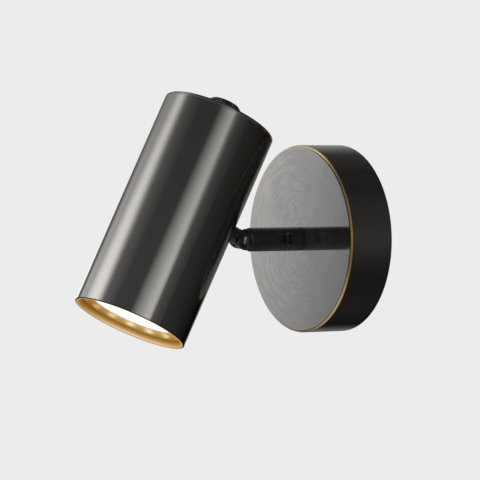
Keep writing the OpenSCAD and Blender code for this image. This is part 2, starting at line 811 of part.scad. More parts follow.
module top_cap() {
    edge = min(cap_edge, cap_t - seam_bevel - 0.1);
    edge_steps = 8;
    rim_wall = 1.1;
    color(gunmetal) in_head() rotate_extrude() polygon(concat([
        [bush_r + push_fit, cap_bottom], [shade_bore_r - rim_wall, cap_bottom],
        [shade_bore_r - rim_wall, cap_bottom - cap_rim_h],
        [shade_bore_r - push_fit, cap_bottom - cap_rim_h],
        [shade_bore_r - push_fit, cap_bottom], [shade_r - seam_bevel, cap_bottom],
        [shade_r, cap_bottom + seam_bevel]],
        [for (i = [0 : edge_steps]) let (a = i * 90 / edge_steps)
            [shade_r - edge + edge * cos(a), top_rise - edge + edge * sin(a)]],
        [[bush_r + push_fit, top_rise]]));
}

module switch_body() {
    color(nylon) in_head() difference() {
        union() {
            translate([0, 0, switch_bottom]) cylinder(d = switch_d, h = switch_h);
            translate([0, 0, cap_bottom - past]) cylinder(r = bush_r, h = bush_top - cap_bottom + past);
        }
        translate([0, 0, spindle_bottom - air_gap])
            cylinder(r = spindle_r + run_fit, h = knob_top - spindle_bottom);
    }
}

module switch_nut() {
    color(zinc) in_head() translate([0, 0, top_rise])
        hex_nut(switch_nut_af, bush_r + push_fit, switch_nut_h);
}

module holder_bracket() {
    shelf_back = holder_d / 2 - 1;
    flange_drop = bracket_w / 2;
    color(zinc) in_head() difference() {
        union() {
            translate([-bracket_w / 2, flange_in, -flange_drop])
                cube([bracket_w, bracket_t, flange_drop + shelf_top]);
            translate([-bracket_w / 2, -shelf_back, holder_top])
                cube([bracket_w, shelf_back + saddle_flat, bracket_t]);
        }
        along_y() cylinder(d = lug_thread_d + 2 * push_fit, h = shade_d);
        for (side = [-1, 1]) translate([0, side * holder_screw_pitch / 2, holder_top - past])
            cylinder(d = holder_screw_d + 2 * push_fit, h = bracket_t + 2 * past);
    }
}

// The path that a pin of radius r takes in the holder, from the way in to the locked place.
// The arc between the two round ends is a little narrower than they are
module pin_path(r) {
    arc = 0.9 * r;
    for (turn = [0, -lock_turn]) rotate([0, 0, turn]) translate([pin_pitch / 2, 0]) circle(r = r);
    difference() {
        circle(r = pin_pitch / 2 + arc);
        circle(r = pin_pitch / 2 - arc);
        for (turn = [0, 180 - lock_turn]) rotate([0, 0, turn])
            translate([0, pin_pitch]) square([4 * pin_pitch, 2 * pin_pitch], center = true);
    }
}

module lampholder() {
    neck_path_r = pin_neck_d / 2 + pin_play;
    head_path_r = pin_head_d / 2 + pin_play;
    way_in_r = head_path_r + 0.1;
    head_floor = pin_tip - pin_head_h - 0.5;
    cavity_top = pin_tip + 3;
    color(ceramic) in_head() difference() {
        translate([0, 0, holder_face]) cylinder(d = holder_d, h = holder_h);
        for (half = [0, 180]) rotate([0, 0, half]) {
            translate([0, 0, holder_face - past])
                linear_extrude(head_floor - holder_face + past + meet) pin_path(neck_path_r);
            translate([0, 0, head_floor])
                linear_extrude(cavity_top - head_floor) pin_path(head_path_r);
            rotate([0, 0, -lock_turn]) translate([pin_pitch / 2, 0, holder_face - past])
                cylinder(r = way_in_r, h = head_floor - holder_face + past + meet);
        }
        for (side = [-1, 1]) translate([0, side * holder_screw_pitch / 2, holder_top - 6])
            cylinder(d = holder_screw_d + 2 * push_fit, h = 6 + past);
    }
}

module holder_screws() {
    color(zinc) in_head() for (side = [-1, 1])
        translate([0, side * holder_screw_pitch / 2, shelf_top])
            slotted_screw(holder_screw_d / 2, bracket_t + 5.5, holder_screw_d * 0.9, 1.8);
}

module holder_contacts() {
    color(copper) in_head() for (side = [-1, 1])
        translate([side * pin_pitch / 2, 0, pin_tip + air_gap]) cylinder(d = 3, h = 3 - air_gap);
}

// From the tongue's slot, past the pivot, through the lug's bore and up beside the shelf
module head_lead(side, last) {
    beside = bracket_w / 2 + 2;
    in_head() lead(concat([
        [0, lug_reach + hub_r, side * lead_off], [0, lug_reach - hub_r, side * lead_off],
        [0, lug_end, side * lead_off], [0, (lug_end + lug_tail_in) / 2, side * lead_off],
        [0, lug_tail_in, side * lead_off], [side * 4, lug_tail_in - 3, side * lead_off + 1.5],
        [side * beside, holder_d / 2 + 1.5, holder_top - 3]], last), [0, 0, 1]);
}

module head_live_lead() {
    color(brown_pvc) head_lead(1, [
        [bracket_w / 2 + 2, holder_d / 2, shelf_top + 3], [8, 9, (shelf_top + switch_bottom) / 2 + 4],
        [5, 4, switch_bottom - 3], [5, 4, switch_bottom]]);
}

module head_neutral_lead() {
    x = -bracket_w / 2 - 2;
    color(blue_pvc) head_lead(-1, [[x, 8, shelf_top + 3], [x, 4, shelf_top + 4],
        [x, 0.5, holder_top + 3], [x, 0, holder_top]]);
}

module switched_lead() {
    x = bracket_w / 2 + 2;
    color(black) in_head() lead([[-5, -3, switch_bottom], [-5, -3, switch_bottom - 3],
        [-2, -6, switch_bottom - 3.6], [6, -5, shelf_top + 7], [x, -1, holder_top + 4],
        [x, 0, holder_top]], [0, 1, 0]);
}

// Parts that turn with the lamp

module lamp_housing() {
    outer = [[lamp_r - 0.6, housing_front], [waist_r, waist_z], [lamp_r - 7.2, lamp_back - 22],
        [housing_base_r + 1.7, lamp_back - 12], [housing_base_r, lamp_back - 7]];
    color(white) in_head() difference() {
        rotate_extrude() polygon(concat([[0, housing_front]], outer,
            [[housing_base_r, lamp_back], [0, lamp_back]]));
        rotate_extrude() polygon(concat([[0, housing_front - past],
            [outer[0][0] - housing_wall, housing_front - past]],
            [for (p = outer) [p[0] - housing_wall, p[1]]],
            [[housing_base_r - housing_wall, lamp_back - housing_wall],
            [0, lamp_back - housing_wall]]));
        for (side = [-1, 1]) translate([side * pin_pitch / 2, 0, lamp_back - 2 * housing_wall])
            cylinder(d = pin_neck_d + 2 * push_fit, h = 4 * housing_wall);
    }
}

module lamp_ring() {
    color(white) in_head() rotate_extrude() polygon([
        [lens_r + push_fit, lamp_front], [lamp_r - 0.8, lamp_front], [lamp_r, lamp_front + 0.8],
        [lamp_r, housing_front], [lens_r - 1, housing_front],
        [lens_r - 1, lamp_front + 0.4 + lens_t], [lens_r + push_fit, lamp_front + 0.4 + lens_t]]);
}

module lamp_lens() {
    color(warm_light) in_head() translate([0, 0, lamp_front + 0.4])
        cylinder(r = lens_r, h = lens_t);
}

module led_board() {
    color(white) in_head() translate([0, 0, board_front]) cylinder(r = board_r, h = board_t);
}

module led_chips() {
    color(warm_light) in_head() translate([0, 0, board_front - chip_t]) {
        for (i = [0 : outer_chips - 1]) rotate([0, 0, i * 360 / outer_chips])
            translate([outer_chip_r - chip / 2, -chip / 2, 0]) cube([chip, chip, chip_t]);
        for (i = [0 : inner_chips - 1]) rotate([0, 0, i * 360 / inner_chips])
            translate([inner_chip_r - chip / 2, -chip / 2, 0]) cube([chip, chip, chip_t]);
    }
}

// An aluminium dish that carries the board and touches the housing
module heat_spreader() {
    back = board_front + board_t;
    edge_r = waist_r - housing_wall - 0.1;
    color(zinc) in_head() rotate_extrude() polygon([
        [0, back], [edge_r, back], [edge_r, back + 5], [edge_r - spreader_t, back + 5],
        [edge_r - spreader_t, back + spreader_t], [0, back + spreader_t]]);
}

// A board on edge behind the spreader, with a capacitor on one side and a coil on the other
module lamp_driver() {
    bottom = board_front + board_t + spreader_t;
    driver_w = 20;
    driver_h = 22;
    capacitor_d = 8;
    coil = [7, 6, 8];
    color(board_green) in_head() {
        translate([-driver_w / 2, -board_t / 2, bottom]) cube([driver_w, board_t, driver_h]);
        translate([-capacitor_d / 2, board_t / 2 - 0.1, bottom + capacitor_d])
            along_y() cylinder(d = capacitor_d, h = 7);
        translate([2, 0.1 - board_t / 2 - coil[1], bottom + 3]) cube(coil);
    }
}

module lamp_pins() {
    color(zinc) in_head() for (side = [-1, 1]) translate([side * pin_pitch / 2, 0, 0]) {
        translate([0, 0, lamp_back - housing_wall - 1])
            cylinder(d = pin_neck_d, h = pin_l + housing_wall + 1 - pin_head_h / 2);
        translate([0, 0, pin_tip - pin_head_h]) cylinder(d = pin_head_d, h = pin_head_h);
    }
}

// Parts that turn with the knob

module knob() {
    edge = 0.8;
    crown_r = knob_r - flute_depth - 0.1;
    color(bronze) in_head() difference() {
        union() {
            translate([0, 0, knob_bottom]) linear_extrude(knob_top - edge - knob_bottom)
                fluted_outline(knob_r, knob_flutes, flute_depth);
            rotate_extrude() polygon([[0, knob_top - edge - 0.5], [crown_r, knob_top - edge - 0.5],
                [crown_r, knob_top - edge], [crown_r - edge, knob_top], [0, knob_top]]);
        }
        translate([0, 0, knob_bottom - past])
            cylinder(r = switch_nut_af / 2 / cos(30) + air_gap,
                h = knob_recess_top - knob_bottom + past);
        translate([0, 0, knob_bottom]) cylinder(r = bush_r + air_gap, h = bush_top - knob_bottom + air_gap);
        translate([0, 0, knob_bottom]) cylinder(r = spindle_r + push_fit, h = spindle_top - knob_bottom);
        translate([0, 0, knob_screw_z])
            along_y() cylinder(d = knob_screw_d + 2 * push_fit, h = knob_d);
        translate([-0.4, -knob_r, knob_top - 0.5]) cube([0.8, knob_r - spindle_r, past]);
    }
}

module switch_spindle() {
    color(zinc) in_head() translate([0, 0, spindle_bottom])
        cylinder(r = spindle_r, h = spindle_top - spindle_bottom);
}

module knob_screw() {
    color(zinc) in_head() translate([0, spindle_r, knob_screw_z])
        along_y() cylinder(d = knob_screw_d, h = knob_r - flute_depth - spindle_r - 0.6);
}

canopy();
wall_bracket();
canopy_screws();
earth_screw();
terminal_block();
terminal_sleeves();
terminal_screws();
block_screws();
swivel_stud();
stud_star_washer();
stud_nut();
wire_bush();
base_live_lead();
base_neutral_lead();
earth_lead();
swivel_washer();
arm_sleeve();
stop_screw();
screw_saddle();
friction_disc();
arm_fork();
pivot_screw();
pivot_nut();
pivot_washers();
arm_live_lead();
arm_neutral_lead();
head_lug();
lug_saddle();
lug_star_washer();
lug_nut();
shade_tube();
shade_liner();
top_cap();
switch_body();
switch_nut();
holder_bracket();
lampholder();
holder_screws();
holder_contacts();
head_live_lead();
switched_lead();
head_neutral_lead();
lamp_housing();
lamp_ring();
lamp_lens();
led_board();
led_chips();
heat_spreader();
lamp_driver();
lamp_pins();
knob();
switch_spindle();
knob_screw();
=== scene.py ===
"""A wall spotlight: brushed canopy, short black arm with a swivel and a tilt, gunmetal tube
shade with a knob on its closed end and a lit reflector lamp in its mouth.
"""

import math

import bpy
from mathutils import Matrix, Vector


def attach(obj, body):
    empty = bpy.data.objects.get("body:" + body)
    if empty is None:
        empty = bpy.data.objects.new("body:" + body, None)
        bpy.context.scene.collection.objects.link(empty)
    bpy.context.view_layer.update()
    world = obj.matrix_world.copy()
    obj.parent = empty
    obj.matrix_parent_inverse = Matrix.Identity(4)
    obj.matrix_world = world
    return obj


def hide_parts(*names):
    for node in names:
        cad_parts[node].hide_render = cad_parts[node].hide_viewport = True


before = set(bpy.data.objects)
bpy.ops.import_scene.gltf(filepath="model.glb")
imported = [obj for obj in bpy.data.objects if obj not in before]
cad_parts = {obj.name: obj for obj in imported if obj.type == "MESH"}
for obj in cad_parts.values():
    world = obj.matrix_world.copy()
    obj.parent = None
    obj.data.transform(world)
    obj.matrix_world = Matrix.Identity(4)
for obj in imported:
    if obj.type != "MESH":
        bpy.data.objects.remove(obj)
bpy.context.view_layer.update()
MM = 0.001

# Camera
# It stands level with the lamp, to the right of it and a metre and a half away, as the
# photograph's does, and looks a little downwards with a long lens.
VIEW_AZIMUTH = math.radians(58.06)
VIEW_ELEVATION = math.radians(1.08)
VIEW_ROLL = math.radians(-0.32)
VIEW_DISTANCE = 1516.7 * MM
SENSOR = 36.0
LENS = 211.3
AIM_RIGHT = -53.0 * MM
AIM_UP = -1.0 * MM

back = Vector((math.sin(VIEW_AZIMUTH) * math.cos(VIEW_ELEVATION),
               -math.cos(VIEW_AZIMUTH) * math.cos(VIEW_ELEVATION), math.sin(VIEW_ELEVATION)))
level = Vector((math.cos(VIEW_AZIMUTH), math.sin(VIEW_AZIMUTH), 0))
right = math.cos(VIEW_ROLL) * level + math.sin(VIEW_ROLL) * back.cross(level)
above = back.cross(right)
camera = bpy.data.objects.new("camera", bpy.data.cameras.new("camera"))
camera.data.sensor_width = SENSOR
camera.data.sensor_fit = "HORIZONTAL"
camera.data.lens = LENS
camera.matrix_world = Matrix((right, above, back)).transposed().to_4x4()
camera.location = VIEW_DISTANCE * back + AIM_RIGHT * right + AIM_UP * above
bpy.context.scene.collection.objects.link(camera)
bpy.context.scene.camera = camera
bpy.context.scene.view_settings.view_transform = "Standard"

# Shade's own frame
# The tube leans out by its tilt, and its lug holds it at the pivot. Patterns and light strips
# follow this frame: x across, y towards the pivot, z up the tube.
TILT = math.radians(27.4)
PIVOT_OUT = 61.2 * MM
LUG_REACH = 41.5 * MM
head_turn = Matrix.Rotation(-TILT, 4, "X")
head_place = (Matrix.Translation((0, -PIVOT_OUT, 0)) @ head_turn
              @ Matrix.Translation((0, -LUG_REACH, 0)))
head_across = head_turn @ Vector((1, 0, 0))
head_inwards = head_turn @ Vector((0, 1, 0))
head_up = head_turn @ Vector((0, 0, 1))

# Studio
# A pale room. Polished metal sees it as a ring of tall soft boxes and dark screens, which stand
# parallel to the shade, so each runs down the tube as a straight band.
PALE = 0.839
SOFT_FILL = 0.55
FILL_TONE = (1, 0.99, 0.97, 1)
STRIP_GAIN = 5.2
# Some soft boxes lean a little, so a band on the shade is wider at the mouth than at the top
LEAN = math.radians(8)
LEAN_LOW = 0.19
LEAN_HIGH = 0.26
LEANING = ((-180, 1), (-172, 1), (-164, 0), (-130, 0), (-118, 0.8), (-85, 0.8), (-60, 0), (-30, 0),
           (-12, 0.55), (12, 0.55), (28, 0), (116, 0), (126, 1), (140, 1), (150, 0), (165, 0),
           (175, 1))
# Turn round the shade's axis in degrees, and how bright the studio is there. There is a stop at
# each edge of a soft box or a dark screen, and the light fades evenly between them.
STRIPS = (
    (-180, 0.04),
    (-160, 0.25), (-145, 0.25), (-126, 0.55), (-116, 0.55),
    (-102, 0.08), (-70, 0.03), (-36, 0.03),
    (-6, 0.35), (0, 0.35),
    (3, 0.06), (30, 0.02), (120, 0.0),
    (133, 0.1),
    (145, 0.02), (165, 0.5), (174, 0.04),
)
# From under the shade (0) to above it (1), the share of the strips that is seen there, and the
# light that comes from everywhere
STRIP_SHARE = ((0.0, 0.05), (0.15, 0.06), (0.24, 0.10), (0.31, 0.19), (0.345, 0.44), (0.38, 0.53),
               (0.59, 0.66), (0.635, 0.35), (0.74, 0.34), (0.86, 0.16), (0.93, 0.03), (1.0, 0.04))
AMBIENT = ((0.0, 0.10), (0.10, 0.07), (0.17, 0.006), (0.30, 0.003), (0.4, 0.0), (0.8, 0.0),
           (1.0, 0.006))


def add(tree, kind, inputs=None, **settings):
    """Adds a shader node; an input that is a socket is linked, and any other is its value."""
    node = tree.nodes.new("ShaderNode" + kind)
    for name, value in settings.items():
        setattr(node, name, value)
    for key, value in (inputs or {}).items():
        if isinstance(value, bpy.types.NodeSocket):
            tree.links.new(value, node.inputs[key])
        else:
            node.inputs[key].default_value = value
    return node


def math_of(tree, operation, a, b=0.0, c=0.0):
    """One arithmetic node, and its result."""
    return add(tree, "Math", {0: a, 1: b, 2: c}, operation=operation).outputs[0]


def stretched(tree, value, low, high, start=0.0, end=1.0):
    """The value, with low to high brought to start to end, and held there beyond them."""
    return add(tree, "MapRange", {0: value, 1: low, 2: high, 3: start, 4: end}).outputs[0]


def ramp_of(tree, value, stops):
    """A colour ramp's colour; stops are (place, colour), and a number stands for a grey."""
    ramp = add(tree, "ValToRGB", {0: value})
    while len(ramp.color_ramp.elements) < len(stops):
        ramp.color_ramp.elements.new(1.0)
    for element, (place, colour) in zip(ramp.color_ramp.elements, stops):
        element.position = place
        grey = isinstance(colour, (int, float))
        element.color = (colour, colour, colour, 1) if grey else (*colour, 1)
    return ramp.outputs[0]


def round_ramp(tree, turn, stops):
    """A ramp whose stops are places round the shade, in degrees."""
    place = math_of(tree, "FRACT", math_of(tree, "MULTIPLY_ADD", turn, 0.5 / math.pi, 0.5))
    return ramp_of(tree, place, [((angle + 180) / 360, value) for angle, value in stops])


world = bpy.data.worlds.new("studio")
world.use_nodes = True
tree = world.node_tree
tree.nodes.clear()
heading = add(tree, "TexCoord").outputs["Generated"]
across = add(tree, "VectorMath", {0: heading, 1: tuple(head_across)}, operation="DOT_PRODUCT")
inwards = add(tree, "VectorMath", {0: heading, 1: tuple(head_inwards)}, operation="DOT_PRODUCT")
along = add(tree, "VectorMath", {0: heading, 1: tuple(head_up)}, operation="DOT_PRODUCT")
turn = math_of(tree, "ARCTAN2", inwards.outputs["Value"], across.outputs["Value"])
lean = stretched(tree, along.outputs["Value"], LEAN_LOW, LEAN_HIGH, -LEAN, LEAN)
turn = math_of(tree, "MULTIPLY_ADD", lean, round_ramp(tree, turn, LEANING), turn)
strips = round_ramp(tree, turn, STRIPS)
climb = math_of(tree, "MULTIPLY_ADD", along.outputs["Value"], 0.5, 0.5)
lit = add(tree, "VectorMath", {0: strips, 1: ramp_of(tree, climb, STRIP_SHARE),
                               2: ramp_of(tree, climb, AMBIENT)},
          operation="MULTIPLY_ADD").outputs[0]
rays = add(tree, "LightPath").outputs
pale_seen = add(tree, "Background", {"Color": (PALE, PALE, PALE, 1), "Strength": 1.0})
strips_seen = add(tree, "Background", {"Color": lit, "Strength": STRIP_GAIN})
fill_seen = add(tree, "Background", {"Color": FILL_TONE, "Strength": SOFT_FILL})
pale_rays = math_of(tree, "MAXIMUM", rays["Is Camera Ray"], rays["Is Transmission Ray"])
soft = add(tree, "MixShader", {0: rays["Is Glossy Ray"], 1: fill_seen.outputs[0],
                               2: strips_seen.outputs[0]})
room = add(tree, "MixShader", {0: pale_rays, 1: soft.outputs[0], 2: pale_seen.outputs[0]})
add(tree, "OutputWorld", {"Surface": room.outputs[0]})
bpy.context.scene.world = world

# Floor and lamps
# The floor is far under the lamp. Past the lamp's surroundings it shows the room's own pale
# tone, and near the lamp it takes its shadow. Two soft boxes light what isn't polished, and
# polished metal sees the room through floor and boxes.
FLOOR_DROP = 0.34
FLOOR_SIZE = 30.0
SHADOW_NEAR = 0.35
SHADOW_FAR = 1.2
FLOOR_TONE = (0.8, 0.8, 0.8, 1)


def new_material(name):
    """An empty node material."""
    material = bpy.data.materials.new(name)
    material.use_nodes = True
    material.node_tree.nodes.clear()
    return material, material.node_tree


floor_mesh = bpy.data.meshes.new("floor")
half = FLOOR_SIZE / 2
floor_mesh.from_pydata([(x, y, -FLOOR_DROP) for x, y in
                        ((-half, -half), (half, -half), (half, half), (-half, half))],
                       [], [(0, 1, 2, 3)])
floor = bpy.data.objects.new("floor", floor_mesh)
bpy.context.scene.collection.objects.link(floor)
material, tree = new_material("pale_floor")
spot = add(tree, "TexCoord").outputs["Object"]
far = add(tree, "VectorMath", {0: spot}, operation="LENGTH").outputs["Value"]
plain = stretched(tree, far, SHADOW_NEAR, SHADOW_FAR)
shown = add(tree, "Emission", {"Color": (PALE, PALE, PALE, 1), "Strength": 1.0})
matt = add(tree, "BsdfDiffuse", {"Color": FLOOR_TONE})
camera_only = math_of(tree, "MULTIPLY", add(tree, "LightPath").outputs["Is Camera Ray"], plain)
surface = add(tree, "MixShader", {0: camera_only, 1: matt.outputs[0], 2: shown.outputs[0]})
add(tree, "OutputMaterial", {"Surface": surface.outputs[0]})
floor_mesh.materials.append(material)
floor.visible_glossy = False


def soft_box(name, place, size, watts, colour):
    """A square lamp facing the object, which neither the camera nor polished metal sees."""
    lamp = bpy.data.objects.new(name, bpy.data.lights.new(name, "AREA"))
    lamp.data.shape = "SQUARE"
    lamp.data.size = size
    lamp.data.energy = watts
    lamp.data.color = colour
    lamp.location = place
    lamp.rotation_euler = Vector(place).to_track_quat("Z", "Y").to_euler()
    lamp.visible_camera = False
    lamp.visible_glossy = False
    bpy.context.scene.collection.objects.link(lamp)


soft_box("key_lamp", place=(-1.1, -1.3, 1.5), size=0.9, watts=16.0, colour=(1.0, 0.98, 0.95))
soft_box("side_lamp", place=(1.6, -0.9, 0.7), size=0.7, watts=7.0, colour=(0.97, 0.98, 1.0))

# Canopy
# A spun brass cup, 100 mm across. Its face is brushed in rings and plated grey, its side is
# dark bronze with fine turning marks, and its rounded edge is rubbed through to the brass.
CANOPY_R = 50.0 * MM
CANOPY_DEEP = 25.5 * MM
FACE_R = 48.4 * MM
RUBBED_R = 49.3 * MM
EDGE_DEEP = 1.3 * MM
RUBBED_DEEP = 1.0 * MM
FACE_STEEL = (0.60, 0.595, 0.59)
FACE_WARM = (0.72, 0.69, 0.635)
FACE_LINE = (0.39, 0.38, 0.375)
# The colour of the painted shade on the face's right side
FACE_PAINTED_SHADE = (0.23, 0.225, 0.23)
FACE_HAZE = 0.05
EDGE_GOLD = (0.95, 0.66, 0.28)
# The colour of the painted dark reflection just inside the gold edge
EDGE_PAINTED_DARK = (0.05, 0.045, 0.04)
SIDE_BRONZE = (0.26, 0.24, 0.215)
# Brush marks and turning marks, as how many there are to a metre
FINE_RINGS = 2600.0
WIDE_RINGS = 800.0
CLOUD_RINGS = 40.0
TURNING_MARKS = 1500.0
MARK_DEPTH = 0.02 * MM
GRAIN_DRAW = 0.8
# Painted shade: the face is painted darker along this slant, from left to right
FADE_SLANT = -0.3
FADE_FROM = -0.9 * CANOPY_R
FADE_MOST = 0.95
FACE_SHINE = 0.06
SIDE_SHINE = 0.21
# What the rubbed edge adds to the roughness, in general and on the side away from the shade
EDGE_DULL = 0.26
EDGE_DULLEST = 0.55
# The way to that side, in the face's plane, along which the painted dark line is widest
AWAY_X = 0.9
AWAY_Z = 0.42


def mixed(tree, share, a, b):
    """The colour a, turned into the colour b by share."""
    node = add(tree, "Mix", {0: share}, data_type="RGBA")
    for socket, value in ((node.inputs[6], a), (node.inputs[7], b)):
        if isinstance(value, bpy.types.NodeSocket):
            tree.links.new(value, socket)
        else:
            socket.default_value = (*value, 1)
    return node.outputs[2]


def dress(material, *names):
    """Gives CAD nodes their finish."""
    for name in names:
        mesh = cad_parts[name].data
        mesh.materials.clear()
        mesh.materials.append(material)


def world_tangent(tree, vector):
    """A direction of the object's own frame as the shader needs it."""
    return add(tree, "VectorTransform", {0: vector}, vector_type="VECTOR",
               convert_from="OBJECT", convert_to="WORLD").outputs[0]


def ringed(tree, across, per_metre, side, turns, detail, roughness=0.5):
    """Noise that is fast across the brush marks and slow round them, with no seam."""
    place = add(tree, "CombineXYZ", {0: math_of(tree, "MULTIPLY", across, per_metre),
                                     1: math_of(tree, "MULTIPLY", side[0], turns),
                                     2: math_of(tree, "MULTIPLY", side[1], turns)}).outputs[0]
    return add(tree, "TexNoise", {"Vector": place, "Scale": 1.0, "Detail": detail,
                                  "Roughness": roughness}).outputs[0]


material, tree = new_material("brushed_canopy")
xyz = add(tree, "SeparateXYZ", {0: add(tree, "TexCoord").outputs["Object"]}).outputs
flat = add(tree, "CombineXYZ", {0: xyz[0], 2: xyz[2]}).outputs[0]
radius = add(tree, "VectorMath", {0: flat}, operation="LENGTH").outputs["Value"]
outwards = add(tree, "VectorMath", {0: flat}, operation="NORMALIZE").outputs[0]
round_x, _, round_z = add(tree, "SeparateXYZ", {0: outwards}).outputs
side = (round_x, round_z)
rings = ringed(tree, radius, FINE_RINGS, side, turns=1.6, detail=3.0, roughness=0.7)
wide_rings = ringed(tree, radius, WIDE_RINGS, side, turns=3.0, detail=1.0, roughness=0.7)
wide_rings = stretched(tree, wide_rings, 0.3, 0.7)
cloud = ringed(tree, radius, CLOUD_RINGS, side, turns=2.2, detail=1.0, roughness=0.7)
cloud = stretched(tree, cloud, 0.35, 0.65)
on_front = math_of(tree, "LESS_THAN", xyz[1], -CANOPY_DEEP + EDGE_DEEP)
on_face = math_of(tree, "MULTIPLY", on_front, math_of(tree, "LESS_THAN", radius, FACE_R))
on_rim = math_of(tree, "LESS_THAN", xyz[1], -CANOPY_DEEP + RUBBED_DEEP)
on_edge = math_of(tree, "MULTIPLY", on_rim, math_of(tree, "GREATER_THAN", radius, RUBBED_R))
face_tone = mixed(tree, cloud, FACE_STEEL, FACE_WARM)
lines = math_of(tree, "MULTIPLY_ADD", rings, 0.4, math_of(tree, "MULTIPLY", wide_rings, 0.5))
face_tone = mixed(tree, lines, face_tone, FACE_LINE)
# Painted shade: the face's colour is darkened towards its right
slant = math_of(tree, "MULTIPLY_ADD", xyz[2], FADE_SLANT, xyz[0])
painted_shade = stretched(tree, slant, FADE_FROM, CANOPY_R, end=FADE_MOST)
face_tone = mixed(tree, painted_shade, face_tone, FACE_PAINTED_SHADE)
# A painted dark reflection: the dark line inside the gold is wide on the side away from the shade,
# and fades round the rest
away = math_of(tree, "MULTIPLY", round_z, AWAY_Z)
away = math_of(tree, "MULTIPLY_ADD", round_x, AWAY_X, away)
painted_dark_line = stretched(tree, away, 0.5, 0.85)
tone = mixed(tree, on_front, SIDE_BRONZE, mixed(tree, painted_dark_line, face_tone, EDGE_PAINTED_DARK))
tone = mixed(tree, on_face, tone, face_tone)
tone = mixed(tree, on_edge, tone, EDGE_GOLD)
# The marks run round the face and the side, so the shine is drawn out across them
grain = add(tree, "CombineXYZ", {0: round_x, 1: 1.0, 2: round_z}).outputs[0]
marks = add(tree, "TexNoise", {"Vector": add(tree, "CombineXYZ", {
    0: round_x, 1: math_of(tree, "MULTIPLY", xyz[1], TURNING_MARKS), 2: round_z}).outputs[0],
    "Scale": 1.0, "Detail": 2.0}).outputs[0]
face_polish = math_of(tree, "MULTIPLY_ADD", rings, 0.05, FACE_SHINE)
side_polish = math_of(tree, "MULTIPLY_ADD", marks, 0.08, SIDE_SHINE)
polish = add(tree, "Mix", {0: on_front, 2: side_polish, 3: face_polish}).outputs[0]
rubbed = stretched(tree, round_x, 0.90, 0.99, EDGE_DULL, EDGE_DULLEST)
steel = add(tree, "BsdfPrincipled", {
    "Base Color": tone, "Anisotropic": GRAIN_DRAW,
    "Metallic": math_of(tree, "MULTIPLY_ADD", on_face, -FACE_HAZE, 1.0),
    "Roughness": math_of(tree, "MULTIPLY_ADD", on_edge, rubbed, polish),
    "Tangent": world_tangent(tree, grain),
    "Normal": add(tree, "Bump", {"Strength": 0.05, "Distance": MARK_DEPTH,
                                 "Height": rings}).outputs[0]})
add(tree, "OutputMaterial", {"Surface": steel.outputs[0]})
dress(material, "canopy")

# Bracket and plain hardware
# A pressed and zinc plated strap with bent ears is screwed to the wall, and its set screws,
# nuts and washers have the same plating.
PATCH_SCALE = 160.0
SCRATCH_SCALE = 900.0
SCRATCH_DEPTH = 0.03 * MM


def plated(name, colour, roughness):
    """Bare or plated metal with faint patches and fine scratches."""
    material, tree = new_material(name)
    spot = add(tree, "TexCoord").outputs["Object"]
    patches = add(tree, "TexNoise", {"Vector": spot, "Scale": PATCH_SCALE, "Detail": 3.0})
    scratches = add(tree, "TexNoise", {"Vector": spot, "Scale": SCRATCH_SCALE, "Detail": 2.0})
    darker = tuple(0.72 * c for c in colour)
    tone = mixed(tree, math_of(tree, "MULTIPLY", patches.outputs[0], 0.5), colour, darker)
    metal = add(tree, "BsdfPrincipled", {
        "Base Color": tone, "Metallic": 1.0,
        "Roughness": math_of(tree, "MULTIPLY_ADD", patches.outputs[0], 0.18, roughness),
        "Normal": add(tree, "Bump", {"Strength": 0.12, "Distance": SCRATCH_DEPTH,
                                     "Height": scratches.outputs[0]}).outputs[0]})
    add(tree, "OutputMaterial", {"Surface": metal.outputs[0]})
    return material


dress(plated("zinc_plate", (0.66, 0.68, 0.70), 0.24), "wall_bracket",
      "canopy_screws", "stud_star_washer", "stud_nut", "terminal_screws", "block_screws",
      "lug_saddle", "lug_star_washer", "lug_nut", "switch_nut", "holder_bracket",
      "holder_screws", "lamp_pins", "switch_spindle", "knob_screw")
dress(plated("bright_brass", (0.83, 0.62, 0.29), 0.16), "earth_screw", "terminal_sleeves",
      "swivel_stud", "pivot_washers", "holder_contacts")
dress(plated("plain_aluminium", (0.80, 0.80, 0.81), 0.30), "heat_spreader")

# Moulded and glazed pieces
# The terminal block, washers and bush are nylon, the lampholder is glazed ceramic and the
# lamp's housing and ring are gloss plastic. Each has a faint mottle and a soft skin.
MOTTLE_SCALE = 90.0
SKIN_SCALE = 2200.0
SKIN_DEPTH = 0.04 * MM


def moulded(name, colour, roughness, mottle=0.10):
    """Plastic or ceramic with a faint mottle and fine grain."""
    material, tree = new_material(name)
    spot = add(tree, "TexCoord").outputs["Object"]
    cloud = add(tree, "TexNoise", {"Vector": spot, "Scale": MOTTLE_SCALE, "Detail": 3.0})
    skin = add(tree, "TexNoise", {"Vector": spot, "Scale": SKIN_SCALE, "Detail": 1.0})
    darker = tuple(0.8 * c for c in colour)
    tone = mixed(tree, math_of(tree, "MULTIPLY", cloud.outputs[0], 4 * mottle), colour, darker)
    plastic = add(tree, "BsdfPrincipled", {
        "Base Color": tone,
        "Roughness": math_of(tree, "MULTIPLY_ADD", cloud.outputs[0], mottle, roughness),
        "Normal": add(tree, "Bump", {"Strength": 0.10, "Distance": SKIN_DEPTH,
                                     "Height": skin.outputs[0]}).outputs[0]})
    add(tree, "OutputMaterial", {"Surface": plastic.outputs[0]})
    return material


